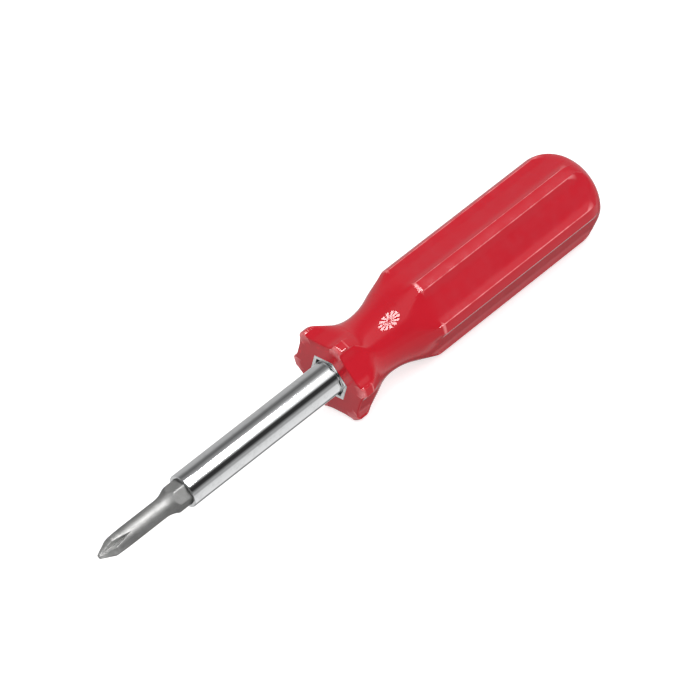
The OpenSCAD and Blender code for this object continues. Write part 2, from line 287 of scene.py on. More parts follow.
def skin(name, rows, angles, worn=None, closed=False, sharp=math.radians(32)):
    """A skin of rings round the tool's axis. A row is (x, radius), each a number or one per angle.
    The rows run forwards along the outside and back along the inside, and a radius of 0 ends the skin."""
    count, cos, sin = len(angles), np.cos(angles), np.sin(angles)
    points, rings, used = [], [], 0
    for x, r in rows:
        single = np.ndim(r) == 0 and r == 0
        size = 1 if single else count
        ring = np.zeros((size, 3))
        ring[:, 0] = x
        if not single:
            ring[:, 1], ring[:, 2] = r * cos, r * sin
        points.append(ring)
        rings.append(used + np.arange(size))
        used += size
    faces = []
    pairs = list(zip(rings, rings[1:] + rings[:1]))
    for a, b in pairs if closed else pairs[:-1]:
        ring = [a, np.roll(a, -1), np.roll(b, -1), b]
        if len(a) == 1:
            ring = [np.broadcast_to(a, count), np.roll(b, -1), b]
        elif len(b) == 1:
            ring = [a, np.roll(a, -1), np.broadcast_to(b, count)]
        faces += np.column_stack(ring).tolist()
    mesh = bpy.data.meshes.new(name)
    mesh.from_pydata(np.concatenate(points).tolist(), [], faces)
    mesh.shade_smooth()
    mesh.set_sharp_from_angle(angle=sharp)
    if worn is not None:
        layer = mesh.attributes.new("edge_scuff_and_highlight", "FLOAT", "POINT")
        layer.data.foreach_set("value", np.concatenate(worn).astype(np.float32))
    return place(name, mesh)


def place(name, mesh):
    obj = bpy.data.objects.new(name, mesh)
    bpy.context.scene.collection.objects.link(obj)
    return obj


def drill(obj, ball, gap):
    """Drills the blind hole of a detent ball and its spring down from the piece's upper flat."""
    low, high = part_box(ball)
    spring_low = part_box(ball.replace("_ball", "_spring"))[0].z
    radius, top = (high.x - low.x) / 2 + gap, high.z + MM
    bm = bmesh.new()
    bmesh.ops.create_cone(
        bm, cap_ends=True, segments=64, radius1=radius, radius2=radius, depth=top - spring_low,
        matrix=Matrix.Translation((middle(ball).x, middle(ball).y, (top + spring_low) / 2)),
    )
    mesh = bpy.data.meshes.new("drill")
    bm.to_mesh(mesh)
    bm.free()
    cutter = place("drill", mesh)
    cut = obj.modifiers.new("hole", "BOOLEAN")
    cut.operation, cut.solver, cut.object = "DIFFERENCE", "EXACT", cutter
    bpy.context.view_layer.update()
    whole = obj.evaluated_get(bpy.context.evaluated_depsgraph_get())
    drilled = bpy.data.meshes.new_from_object(whole)
    obj.modifiers.clear()
    obj.data = drilled
    drilled.set_sharp_from_angle(angle=math.radians(32))
    bpy.data.objects.remove(cutter)
    return obj


def settle(obj, material, body, node):
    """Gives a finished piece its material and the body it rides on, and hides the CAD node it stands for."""
    obj.data.materials.clear()
    obj.data.materials.append(material)
    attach(obj, body)
    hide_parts(node)
    return obj


# ---------------------------------------------------------------- materials


def per_metre(size):
    """Scale of a pattern whose features are this many millimetres apart."""
    return 1 / (size * MM)


def add(tree, kind, inputs=None, **settings):
    """Adds a node of this kind with its settings, and its inputs as values or as links from other sockets."""
    node = tree.nodes.new(kind)
    for key, value in settings.items():
        setattr(node, key, value)
    for key, value in (inputs or {}).items():
        if isinstance(value, bpy.types.NodeSocket):
            tree.links.new(value, node.inputs[key])
        else:
            node.inputs[key].default_value = value
    return node


def blank(name):
    """An empty material, and the coordinates of the piece it is on."""
    material = bpy.data.materials.new(name)
    material.use_nodes = True
    tree = material.node_tree
    tree.nodes.clear()
    at = add(tree, "ShaderNodeTexCoord").outputs["Object"]
    return material, tree, at


def shade(tint, share=1.0):
    """A colour made darker, ready for a colour socket."""
    return (*(share * c for c in tint), 1.0)


def acetate(values):
    """Cellulose acetate, turned from bar, fluted and polished in solvent vapour. It gives the eye a deep red with a
    wet gloss on the neck, a duller and pinker grip where hands have rubbed it, and along every edge rougher scuffs
    under a pale pink painted highlight."""
    material, tree, at = blank("cellulose_acetate_vapour_polished")
    # Clouds 9 mm across where the pigment mixed unevenly, drawn out four times along the bar
    along = add(tree, "ShaderNodeMapping", {"Vector": at, "Scale": (0.25, 1, 1)})
    clouds = add(tree, "ShaderNodeTexNoise", {"Vector": along.outputs[0], "Scale": per_metre(9), "Detail": 3.0})
    mixed = add(tree, "ShaderNodeMapRange", {0: clouds.outputs[0], 1: FAINT, 2: FULL})
    red = add(
        tree, "ShaderNodeMix",
        {0: mixed.outputs[0], MIX_A: shade(values.plastic, 0.95), MIX_B: shade(values.plastic)}, data_type="RGBA",
    )
    # Hands dull the grip and leave the neck and the collar bright
    depth = add(tree, "ShaderNodeSeparateXYZ", {0: at})
    start = -values.grip_depth
    handled = add(
        tree, "ShaderNodeMapRange", {0: depth.outputs[0], 1: start + 2 * MM, 2: start - 4 * MM},
        interpolation_type="SMOOTHSTEP",
    )
    # Smears 4 mm across left by fingers
    smears = add(
        tree, "ShaderNodeTexNoise", {"Vector": at, "Scale": per_metre(4), "Detail": 5.0, "Roughness": 0.6}
    )
    rubbed = add(tree, "ShaderNodeMapRange", {0: smears.outputs[0], 1: 0.35, 2: 0.7, 3: 0.2, 4: 0.5})
    bloom = add(
        tree, "ShaderNodeMath", {0: handled.outputs[0], 1: rubbed.outputs[0]}, operation="MULTIPLY"
    )
    red = add(
        tree, "ShaderNodeMix",
        {0: bloom.outputs[0], MIX_A: red.outputs[MIX_RESULT], MIX_B: shade(values.bloom)}, data_type="RGBA",
    )
    # Scuffs along the edges, strongest where the smears are: they roughen the gloss, and a pale pink is painted over
    # them as a highlight
    edge = add(tree, "ShaderNodeAttribute", attribute_name="edge_scuff_and_highlight")
    crest = add(tree, "ShaderNodeMapRange", {0: edge.outputs["Fac"], 1: 0.05, 2: 0.6})
    patchy = add(tree, "ShaderNodeMapRange", {0: smears.outputs[0], 1: 0.4, 2: 0.6, 3: 0.3, 4: 0.75})
    scuff_and_highlight = add(tree, "ShaderNodeMath", {0: crest.outputs[0], 1: patchy.outputs[0]}, operation="MULTIPLY")
    red = add(
        tree, "ShaderNodeMix",
        {0: scuff_and_highlight.outputs[0], MIX_A: red.outputs[MIX_RESULT], MIX_B: shade(values.scuffed)}, data_type="RGBA",
    )
    polish = add(tree, "ShaderNodeMapRange", {0: bloom.outputs[0], 1: 0.0, 2: 0.5, 3: 0.03, 4: 0.27})
    gloss = add(
        tree, "ShaderNodeMath", {0: scuff_and_highlight.outputs[0], 1: 0.4, 2: polish.outputs[0]}, operation="MULTIPLY_ADD"
    )
    # Slow waves 6 mm across that the vapour leaves as the skin flows
    waves = add(tree, "ShaderNodeTexNoise", {"Vector": at, "Scale": per_metre(6), "Detail": 1.0})
    flowed = add(tree, "ShaderNodeBump", {"Height": waves.outputs[0], "Distance": 0.02 * MM})
    # Turning rings 0.7 mm apart, wider than a real feed so that they show
    round_bar = add(tree, "ShaderNodeMapping", {"Vector": at, "Scale": (1, 0.02, 0.02)})
    rings = add(
        tree, "ShaderNodeTexNoise", {"Vector": round_bar.outputs[0], "Scale": per_metre(0.7), "Detail": 1.0}
    )
    turned = add(
        tree, "ShaderNodeBump",
        {"Height": rings.outputs[0], "Distance": 0.001 * MM, "Normal": flowed.outputs[0]},
    )
    # Hairline scratches along the grip, drawn 0.5 mm apart so that they show
    down_bar = add(tree, "ShaderNodeMapping", {"Vector": at, "Scale": (0.05, 1, 1)})
    hairs = add(
        tree, "ShaderNodeTexNoise", {"Vector": down_bar.outputs[0], "Scale": per_metre(0.5), "Detail": 2.0}
    )
    scratched = add(
        tree, "ShaderNodeBump",
        {"Height": hairs.outputs[0], "Distance": 0.006 * MM, "Strength": bloom.outputs[0],
         "Normal": turned.outputs[0]},
    )
    plastic = add(
        tree, "ShaderNodeBsdfPrincipled",
        {"Base Color": red.outputs[MIX_RESULT], "Roughness": gloss.outputs[0], "IOR": 1.48,
         "Specular IOR Level": 0.3, "Normal": scratched.outputs[0],
         "Subsurface Weight": 0.06, "Subsurface Radius": (1.0, 0.15, 0.1), "Subsurface Scale": 0.0015},
    )
    add(tree, "ShaderNodeOutputMaterial", {"Surface": plastic.outputs[0]})
    return material


def chrome(values):
    """Chromium plating over drawn and polished steel tube. It gives the eye a mirror whose bands have slightly ragged
    edges, from the drawing lines under the plating, dull handling marks, and a dark shade painted on the hexagonal
    drive where it sits in the sleeve."""
    material, tree, at = blank("chromium_plated_steel_polished")
    # Finger marks 3 mm across
    marks = add(
        tree, "ShaderNodeTexNoise", {"Vector": at, "Scale": per_metre(3), "Detail": 5.0, "Roughness": 0.65}
    )
    touched = add(tree, "ShaderNodeMapRange", {0: marks.outputs[0], 1: 0.5, 2: 0.75})
    tint = add(
        tree, "ShaderNodeMix",
        {0: touched.outputs[0], MIX_A: shade(values.chrome), MIX_B: shade(values.chrome, 0.86)}, data_type="RGBA",
    )
    # A dark shade painted on the hexagonal drive, which runs in the steel sleeve, standing for the shade in the gap
    # between them
    x = add(tree, "ShaderNodeSeparateXYZ", {0: at})
    from_drive = add(
        tree, "ShaderNodeMath", {0: x.outputs[0], 1: middle("barrel_ball").x}, operation="SUBTRACT"
    )
    away = add(tree, "ShaderNodeMath", {0: from_drive.outputs[0]}, operation="ABSOLUTE")
    half = values.drive_length / 2
    shaded = add(
        tree, "ShaderNodeMapRange", {0: away.outputs[0], 1: half, 2: half - 0.2 * MM, 3: 0.0, 4: 0.7}
    )
    tint = add(
        tree, "ShaderNodeMix",
        {0: shaded.outputs[0], MIX_A: tint.outputs[MIX_RESULT], MIX_B: shade(values.drive_shade)}, data_type="RGBA",
    )
    gloss = add(tree, "ShaderNodeMapRange", {0: marks.outputs[0], 1: 0.35, 2: 0.7, 3: 0.04, 4: 0.1})
    # Unevenness left by the polishing wheel, 5 mm across and drawn out three times along the tube
    wide = add(tree, "ShaderNodeMapping", {"Vector": at, "Scale": (0.3, 1, 1)})
    waver = add(tree, "ShaderNodeTexNoise", {"Vector": wide.outputs[0], "Scale": per_metre(5), "Detail": 2.0})
    waved = add(tree, "ShaderNodeBump", {"Height": waver.outputs[0], "Distance": 0.006 * MM})
    # Drawing lines along the tube, drawn 0.5 mm apart so that they show
    fine = add(tree, "ShaderNodeMapping", {"Vector": at, "Scale": (0.08, 1, 1)})
    lines = add(tree, "ShaderNodeTexNoise", {"Vector": fine.outputs[0], "Scale": per_metre(0.5), "Detail": 2.0})
    drawn = add(
        tree, "ShaderNodeBump", {"Height": lines.outputs[0], "Distance": 0.003 * MM, "Normal": waved.outputs[0]}
    )
    plating = add(
        tree, "ShaderNodeBsdfPrincipled",
        {"Base Color": tint.outputs[MIX_RESULT], "Metallic": 1.0, "Roughness": gloss.outputs[0],
         "Normal": drawn.outputs[0]},
    )
    add(tree, "ShaderNodeOutputMaterial", {"Surface": plating.outputs[0]})
    return material


def zinc(values):
    """Bright zinc plating on a drawn hexagonal steel sleeve. It gives the eye a pale, slightly clouded metal with
    drawing lines along the flats."""
    material, tree, at = blank("zinc_plated_steel_drawn")
    # Clouding of the plating, 1.5 mm across
    clouds = add(tree, "ShaderNodeTexNoise", {"Vector": at, "Scale": per_metre(1.5), "Detail": 4.0})
    clouded = add(tree, "ShaderNodeMapRange", {0: clouds.outputs[0], 1: FAINT, 2: FULL})
    tint = add(
        tree, "ShaderNodeMix",
        {0: clouded.outputs[0], MIX_A: shade(values.zinc, 0.8), MIX_B: shade(values.zinc)}, data_type="RGBA",
    )
    gloss = add(tree, "ShaderNodeMapRange", {0: clouds.outputs[0], 1: FAINT, 2: FULL, 3: 0.14, 4: 0.22})
    # Drawing lines along the sleeve, drawn 0.25 mm apart so that they show
    down_flats = add(tree, "ShaderNodeMapping", {"Vector": at, "Scale": (0.05, 1, 1)})
    lines = add(
        tree, "ShaderNodeTexNoise", {"Vector": down_flats.outputs[0], "Scale": per_metre(0.25), "Detail": 2.0}
    )
    drawn = add(tree, "ShaderNodeBump", {"Height": lines.outputs[0], "Distance": 0.003 * MM})
    plating = add(
        tree, "ShaderNodeBsdfPrincipled",
        {"Base Color": tint.outputs[MIX_RESULT], "Metallic": 1.0, "Roughness": gloss.outputs[0],
         "Normal": drawn.outputs[0]},
    )
    add(tree, "ShaderNodeOutputMaterial", {"Surface": plating.outputs[0]})
    return material


def tool_steel(name, values, tips, reach):
    """Hardened tool steel, blasted to an even satin. It gives the eye a flat mid grey with a soft broad highlight,
    a fine grain, and brighter metal at the two ends, where screws have polished it."""
    material, tree, at = blank(name)
    # Stains of heat treatment, 2.5 mm across
    stains = add(tree, "ShaderNodeTexNoise", {"Vector": at, "Scale": per_metre(2.5), "Detail": 4.0})
    stained = add(tree, "ShaderNodeMapRange", {0: stains.outputs[0], 1: FAINT, 2: FULL})
    tint = add(
        tree, "ShaderNodeMix",
        {0: stained.outputs[0], MIX_A: shade(values.blasted, 0.84), MIX_B: shade(values.blasted)},
        data_type="RGBA",
    )
    # Wear grows over the last stretch before either tip
    x = add(tree, "ShaderNodeSeparateXYZ", {0: at})
    from_middle = add(
        tree, "ShaderNodeMath", {0: x.outputs[0], 1: (tips[0] + tips[1]) / 2}, operation="SUBTRACT"
    )
    away = add(tree, "ShaderNodeMath", {0: from_middle.outputs[0]}, operation="ABSOLUTE")
    half = (tips[1] - tips[0]) / 2
    used = add(tree, "ShaderNodeMapRange", {0: away.outputs[0], 1: half - reach, 2: half})
    chafed = add(tree, "ShaderNodeMapRange", {0: stains.outputs[0], 1: FAINT, 2: FULL, 3: 0.3, 4: 1.0})
    wear = add(tree, "ShaderNodeMath", {0: used.outputs[0], 1: chafed.outputs[0]}, operation="MULTIPLY")
    tint = add(
        tree, "ShaderNodeMix",
        {0: wear.outputs[0], MIX_A: tint.outputs[MIX_RESULT], MIX_B: shade(values.worn)}, data_type="RGBA",
    )
    # Grain of the blasting, drawn 0.3 mm apart so that it shows
    grain = add(
        tree, "ShaderNodeTexNoise", {"Vector": at, "Scale": per_metre(0.3), "Detail": 3.0, "Roughness": 0.7}
    )
    satin = add(tree, "ShaderNodeMapRange", {0: grain.outputs[0], 1: FAINT, 2: FULL, 3: 0.56, 4: 0.66})
    gloss = add(
        tree, "ShaderNodeMath", {0: wear.outputs[0], 1: -0.12, 2: satin.outputs[0]}, operation="MULTIPLY_ADD"
    )
    pitted = add(tree, "ShaderNodeBump", {"Height": grain.outputs[0], "Distance": 0.004 * MM})
    steel = add(
        tree, "ShaderNodeBsdfPrincipled",
        {"Base Color": tint.outputs[MIX_RESULT], "Metallic": 1.0, "Roughness": gloss.outputs[0],
         "Normal": pitted.outputs[0]},
    )
    add(tree, "ShaderNodeOutputMaterial", {"Surface": steel.outputs[0]})
    return material


def detent_steel(name, base, gloss, size):
    """Small steel parts: bearing steel ground to a mirror, or music wire drawn to a dull sheen. The eye gets a clean
    bright bead, or a darker wire with die lines."""
    material, tree, at = blank(name)
    marks = add(tree, "ShaderNodeTexNoise", {"Vector": at, "Scale": per_metre(size), "Detail": 3.0})
    marked = add(tree, "ShaderNodeMapRange", {0: marks.outputs[0], 1: FAINT, 2: FULL})
    tint = add(
        tree, "ShaderNodeMix", {0: marked.outputs[0], MIX_A: shade(base, 0.8), MIX_B: shade(base)},
        data_type="RGBA",
    )
    polish = add(tree, "ShaderNodeMapRange", {0: marks.outputs[0], 1: FAINT, 2: FULL, 3: gloss, 4: gloss + 0.08})
    relief = add(tree, "ShaderNodeBump", {"Height": marks.outputs[0], "Distance": 0.001 * MM})
    steel = add(
        tree, "ShaderNodeBsdfPrincipled",
        {"Base Color": tint.outputs[MIX_RESULT], "Metallic": 1.0, "Roughness": polish.outputs[0],
         "Normal": relief.outputs[0]},
    )
    add(tree, "ShaderNodeOutputMaterial", {"Surface": steel.outputs[0]})
    return material


# ---------------------------------------------------------------- handle


def neck_curve(away, v, level, run, hollow):
    """Radius of the neck this far from its narrowest place: a hollow arc, then the straight line up to the level."""
    rise = level - v.neck_radius
    r = min(hollow, 0.98 * (run * run + rise * rise) / (2 * rise))
    turn = (
        math.atan2(rise - r, run) + math.pi / 2
        - math.atan2(math.sqrt(max(0, run * run + (rise - r) ** 2 - r * r)), r)
    )
    end = r * math.sin(turn)
    arc = v.neck_radius + r - np.sqrt(r * r - np.minimum(away, end) ** 2)
    return arc + np.clip(away - end, 0, None) * math.tan(turn)


def handle_profile(depth, v, whole):
    """Radius of the turned handle at this depth behind the front face, and how much of a turned corner it is."""
    if depth < v.neck_depth:
        run = v.neck_depth - v.collar_width
        curve = neck_curve(v.neck_depth - depth, v, v.collar_radius, run, v.neck_fall)
        into = max(v.collar_edge - depth, 0)
        level = v.collar_radius - v.collar_edge + math.sqrt(v.collar_edge**2 - into**2)
        radius, near = soft_min(level, curve, v.rim_softness)
        return radius, max(near, min(1, into / v.collar_edge * 1.5))
    run = v.grip_depth - v.neck_depth
    curve = neck_curve(depth - v.neck_depth, v, v.grip_radius, run, v.neck_rise)
    into = max(depth - (whole - v.butt_round), 0)
    level = v.grip_radius - v.butt_round + math.sqrt(max(v.butt_round**2 - into**2, 0))
    return soft_min(level, curve, v.rim_softness)


def fluted_section(angles, v):
    """Radius of the fluted bar at each angle: flat floors, sloping sides, and open beyond each land's edge."""
    beta = np.abs(angles % (2 * CORNER) - CORNER)
    edge = CORNER - v.land / 2
    x1, y1 = v.flute_floor, v.flute_width / 2
    x2, y2 = v.grip_radius * math.cos(edge), v.grip_radius * math.sin(edge)
    lean = math.atan2(y2 - y1, x2 - x1)
    side = (x1 * math.sin(lean) - y1 * math.cos(lean)) / np.sin(lean - np.minimum(beta, edge))
    side = side + np.clip(beta - edge, 0, None) * v.grip_radius * WALL_SLOPE
    return soft_max(v.flute_floor / np.cos(beta), side, v.flute_softness)


def handle_angles():
    """Angles round the handle, closest together over the edges of the lands and the corners of the flutes."""
    stops = [(0, 5, 4), (5, 8.5, 10), (8.5, 14, 7), (14, 17.5, 5), (17.5, 30, 10)]
    half = np.concatenate([np.linspace(a, b, n, endpoint=False) for a, b, n in stops])
    sector = np.radians(np.concatenate([half, 60 - np.append(half[1:], 30)[::-1]]))
    return np.concatenate([sector + 2 * CORNER * k for k in range(SIDES)])


def handle_rows(v, angles):
    """Rows of the handle from the butt to the face and back down the bore, and how much of an edge each point is,
    which scuffs it and paints a highlight on it.
    """
    whole, steady = -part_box("handle")[0].x, v.collar_width - 0.0006
    arc = np.linspace(0, math.pi / 2, 46)
    # Rings stand closest together where the lands run out on the neck and where the collar's lobes do
    lands, lands_end, lobes = v.grip_depth + 0.0035, v.grip_depth - 0.008, v.collar_width + 0.006
    fine, coarse = 0.00025, 0.0005
    depths = np.concatenate([
        whole - v.butt_round * (1 - np.cos(arc)),
        np.linspace(whole - v.butt_round, lands, 25)[1:],
        np.arange(lands, lands_end, -fine)[1:],
        np.arange(lands_end, lobes, -coarse),
        np.arange(lobes, steady, -fine),
        np.linspace(steady, v.collar_edge, 9)[1:],
        v.collar_edge * (1 - np.sin(np.linspace(0, math.pi / 2, 10)[1:])),
    ])
    section = fluted_section(angles, v)
    rows, worn = [(-whole, 0)], [np.zeros(1)]
    for depth in depths:
        turned, corner = handle_profile(depth, v, whole)
        into = max(v.face_softness - depth, 0)
        drop = v.face_softness - math.sqrt(v.face_softness**2 - into**2)
        # The polish has eaten deeper into the flutes' edges where they run out: over 1 mm at the neck's end of the
        # grip and over 4 mm on the butt. The scuffs and their painted highlight stop there, and are fainter on the
        # turned corners
        on_neck = min(max((v.grip_depth + 0.5 * MM - depth) / MM, 0), 1)
        on_butt = min(max((depth - (whole - v.butt_round)) / (4 * MM), 0), 1)
        run_out = max(on_neck, on_butt)
        k = v.land_softness + run_out * (v.run_out_softness - v.land_softness)
        radius, near = soft_min(turned, section - drop, k)
        rows.append((-depth, radius))
        worn.append(np.maximum(near * (1 - run_out), corner * (1 - 0.4 * run_out) * (turned < section)))
    pocket, floor = hexagon(span("handle_insert", 2), angles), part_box("handle_insert")[0].x
    inner = [
        (0, rows[-1][1] * 0.6 + pocket * 0.4), (0, pocket + POCKET_LIP), (-POCKET_LIP, pocket),
        (floor, pocket), (floor, v.bore_radius),
        (-v.bore_depth * 0.5, v.bore_radius), (-v.bore_depth, v.bore_radius), (-v.bore_depth, 0),
    ]
    worn += [np.zeros(1 if np.ndim(r) == 0 and r == 0 else len(angles)) for _, r in inner]
    return rows + inner, worn


class SCREW_OT_handle(bpy.types.Operator):
    """Builds the red handle"""

    bl_idname = "screw.handle"
    bl_label = "Handle"

    def execute(self, context):
        values = context.scene.screw_handle
        angles = handle_angles()
        rows, worn = handle_rows(values, angles)
        piece = skin("handle_acetate", rows, angles, worn)
        settle(piece, acetate(values), "handle", "handle")
        # Gloss doesn't see the handle, so that no red runs along the barrel's mirror
        piece.visible_glossy = False
        return {"FINISHED"}


# ---------------------------------------------------------------- sleeve and barrel


def bend(start, end, steps, along=True):
    """Rows of a rounded edge from one (x, radius) to another, leaving along the axis or else along the radius."""
    (x0, r0), (x1, r1) = start, end
    rows = []
    for t in np.linspace(0, math.pi / 2, steps):
        gone, late = math.sin(t), 1 - math.cos(t)
        a, b = (gone, late) if along else (late, gone)
        rows.append((x0 + (x1 - x0) * a, r0 + (r1 - r0) * b))
    return rows


def blunt_hexagon(across, angles, blunt):
    """A hexagon whose corners are rounded off by this much."""
    corner = across / 2 / math.cos(CORNER)
    return soft_min(hexagon(across, angles), corner - blunt, blunt * 2)[0]


class SCREW_OT_sleeve(bpy.types.Operator):
    """Builds the steel sleeve in the handle's mouth"""

    bl_idname = "screw.sleeve"
    bl_label = "Sleeve"

    def execute(self, context):
        v = context.scene.screw_sleeve
        angles = even_angles(240)
        low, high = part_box("handle_insert")
        across, e = high.z - low.z, v.edge
        outer, inner = hexagon(across - 2 * SLIP, angles), hexagon(across - 2 * v.wall, angles)
        rows = bend((low.x, outer - e), (low.x + e, outer), 4, along=False)
        rows += bend((high.x - e, outer), (high.x, outer - e), 5)
        for depth in np.linspace(0, v.lead * 1.5, 7):
            rows.append((high.x - depth, np.maximum(inner, across / 2 - v.wall + v.lead - depth)))
        rows += [(-v.seat, inner), (-v.seat, v.guide_radius), (low.x, v.guide_radius)]
        piece = skin("insert_sleeve", rows, angles, closed=True)
        settle(piece, zinc(v), "handle", "handle_insert")
        return {"FINISHED"}


def socket_rows(mouth, inward, depth, across, bore, web, v, angles):
    """Rows of a socket from its mouth to the web: lead-in chamfer, hexagon, then the bore behind it."""
    flats = hexagon(across, angles)
    open_r = across / 2 + v.mouth
    rows = [
        (mouth + inward * d, np.maximum(flats, open_r - d)) for d in np.linspace(0, v.mouth, 7)
    ]
    rows += [(mouth + inward * (v.mouth + depth) / 2, flats), (mouth + inward * depth, flats)]
    return rows + [(mouth + inward * depth, bore), (web, bore), (web, 0)]


class SCREW_OT_barrel(bpy.types.Operator):
    """Builds the chromed barrel"""

    bl_idname = "screw.barrel"
    bl_label = "Barrel"

    def execute(self, context):
        v, steel = context.scene.screw_barrel, context.scene.screw_steel
        angles = even_angles(216)
        low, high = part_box("barrel")
        drive = middle("barrel_ball").x
        front, rear = drive + v.drive_length / 2, drive - v.drive_length / 2
        across = high.z - low.z
        flats = blunt_hexagon(across, angles, BLUNT)
        slope = (across / 2 / math.cos(CORNER) - v.radius) / v.drive_lead
        large, small = span("bit_large", 2), span("bit_small", 2)
        rows = socket_rows(low.x, 1, v.rear_socket, small + 2 * v.fit, small / 2 + v.ledge,
                           drive - v.web / 2, v, angles)[::-1]
        rows += bend((low.x, v.radius - v.rim), (low.x + v.rim, v.radius), 7, along=False)
        rows += [(x, v.radius) for x in np.linspace(low.x + v.rim, rear, 12)[1:]]
        into = np.linspace(0, v.drive_lead, 14)[1:]
        rows += [(rear + d, soft_min(flats, v.radius + slope * d, BLUNT)[0]) for d in into]
        rows += [(front - d, soft_min(flats, v.radius + slope * d, BLUNT)[0]) for d in into[::-1]]
        rows += [(x, v.radius) for x in np.linspace(front, high.x - v.rim, 16)]
        rows += bend((high.x - v.rim, v.radius), (high.x, v.radius - v.rim), 7)[1:]
        rows += socket_rows(high.x, -1, v.front_socket, large + 2 * v.fit, large / 2 + v.ledge,
                            drive + v.web / 2, v, angles)
        piece = drill(skin("barrel_chromed", rows, angles), "barrel_ball", steel.ball_gap)
        settle(piece, chrome(v), "barrel", "barrel")
        return {"FINISHED"}


# ---------------------------------------------------------------- bits and detents


def bit_rows(v, node, cross, softness, angles):
    """Rows of a double-ended bit. Its four-winged tip points to +X where cross is 1 and to -X where it is -1."""
    low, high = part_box(node)
    across, mid, half = high.z - low.z, (low.x + high.x) / 2, (high.x - low.x) / 2
    hex_end, shank = v.hexagon / 2, v.shank_radius
    flats = blunt_hexagon(across, angles, BLUNT)
    rise = across / 2 / math.cos(CORNER) - shank
    hollow = (v.flare**2 + rise * rise) / (2 * rise)
    flat_end = POINT_FLAT * shank
    core, run, blade_run = WING_CORE * shank, WING_RUN * shank, BLADE_RUN * shank
    turn = np.abs(angles % (math.pi / 2) - math.pi / 4)
    groove = np.clip(np.cos(turn) - np.sin(turn), 1e-3, None)
    lean = np.clip(np.abs(np.sin(angles)), 1e-3, None)

    def radius(x):
        u = x - mid
        into = hex_end + v.flare - abs(u)
        if into >= v.flare:
            return flats
        if into > 0:
            return soft_min(flats, shank + hollow - math.sqrt(hollow**2 - into**2), softness)[0]
        back = half - abs(u)
        dull = max(softness - back, 0) * DULLED
        if u * cross > 0:
            turned = soft_min(shank, flat_end + back * math.tan(POINT), softness)[0]
            cut = (core + back * (shank - core) / run) / groove
            return soft_min(turned, cut, softness)[0] - dull
        cut = (v.blade / 2 + back * (shank - v.blade / 2) / blade_run) / lean
        return soft_min(shank, cut, softness)[0] - dull

    tips = half - np.append(np.linspace(0, softness, 4), np.linspace(softness, run * 1.08, 70)[1:])
    shanks = np.linspace(tips[-1], hex_end + v.flare, 6)[1:]
    flares = np.linspace(hex_end + v.flare, hex_end, 26)[1:]
    out = np.concatenate([tips, shanks, flares, np.linspace(hex_end, 0, 8)[1:-1]])
    xs = np.concatenate([mid - out, [mid], mid + out[::-1]])
    return [(low.x, 0), *((x, radius(x)) for x in xs), (high.x, 0)]


class SCREW_OT_bits(bpy.types.Operator):
    """Builds the two double-ended bits"""

    bl_idname = "screw.bits"
    bl_label = "Bits"

    def execute(self, context):
        steel = context.scene.screw_steel
        angles = even_angles(240)
        for node, v, cross in (
            ("bit_large", context.scene.screw_large_bit, 1), ("bit_small", context.scene.screw_small_bit, -1)
        ):
            rows = bit_rows(v, node, cross, steel.softness, angles)
            piece = drill(skin(node + "_blasted", rows, angles), node + "_ball", steel.ball_gap)
            low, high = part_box(node)
            finish = tool_steel(node + "_tool_steel_blasted", steel, (low.x, high.x), v.shank_radius * 3)
            settle(piece, finish, node, node)
        return {"FINISHED"}


def detent(body, ball, spring, steel, bead_steel, wire_steel):
    """A detent's ball and its coil spring, in the hole drilled for them."""
    low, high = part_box(ball)
    radius, centre = (high.x - low.x) / 2, middle(ball)
    turns = np.linspace(0, math.pi, 33)
    rows = [(-radius * math.cos(t), radius * math.sin(t)) for t in turns]
    rows[0], rows[-1] = (-radius, 0), (radius, 0)
    bead = skin(ball + "_ground", rows, even_angles(48))
    bead.data.transform(Matrix.Translation(centre))
    settle(bead, bead_steel, ball, ball)

    low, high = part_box(spring)
    wire = WIRE_SHARE * radius
    coil_r, rise = (high.x - low.x) / 2 - wire, high.z - low.z - 2 * wire
    steps, round_wire = 28 * steel.turns, 12
    along = np.linspace(0, 1, steps + 1)
    turn = along * FULL_TURN * steel.turns
    # The end turns lie flat, as on a spring whose ends are closed and ground
    climb = np.clip((along * steel.turns - FLAT_TURN) / (steel.turns - 2 * FLAT_TURN), 0, 1)
    across = even_angles(round_wire)
    reach = coil_r + wire * np.cos(across)[None, :]
    points = np.stack([
        centre.x + reach * np.cos(turn)[:, None], reach * np.sin(turn)[:, None],
        low.z + wire + rise * climb[:, None] + wire * np.sin(across)[None, :],
    ], axis=-1).reshape(-1, 3)
    step, ring = np.meshgrid(np.arange(steps), np.arange(round_wire), indexing="ij")
    a, b = step * round_wire, (ring + 1) % round_wire
    quads = np.stack([a + ring, a + b, a + round_wire + b, a + round_wire + ring], axis=-1).reshape(-1, 4)
    caps = [list(range(round_wire))[::-1], [steps * round_wire + k for k in range(round_wire)]]
    mesh = bpy.data.meshes.new(spring)
    mesh.from_pydata(points.tolist(), [], quads.tolist() + caps)
    bm = bmesh.new()
    bm.from_mesh(mesh)
    bmesh.ops.recalc_face_normals(bm, faces=bm.faces)
    bm.to_mesh(mesh)
    bm.free()
    mesh.shade_smooth()
    wound = place(spring + "_wound", mesh)
    settle(wound, wire_steel, body, spring)


class SCREW_OT_detents(bpy.types.Operator):
    """Builds the balls and springs that hold the barrel and the bits"""

    bl_idname = "screw.detents"
    bl_label = "Detents"

    def execute(self, context):
        steel = context.scene.screw_steel
        # Scuffs 0.6 mm across on the beads, and die lines drawn 0.1 mm apart on the wire
        bead_steel = detent_steel("bearing_steel_ground", steel.ground, 0.06, 0.6)
        wire_steel = detent_steel("music_wire_drawn", steel.drawn, 0.25, 0.1)
        for body in ("barrel", "bit_large", "bit_small"):
            detent(body, body + "_ball", body + "_spring", steel, bead_steel, wire_steel)
        return {"FINISHED"}


# ---------------------------------------------------------------- stage


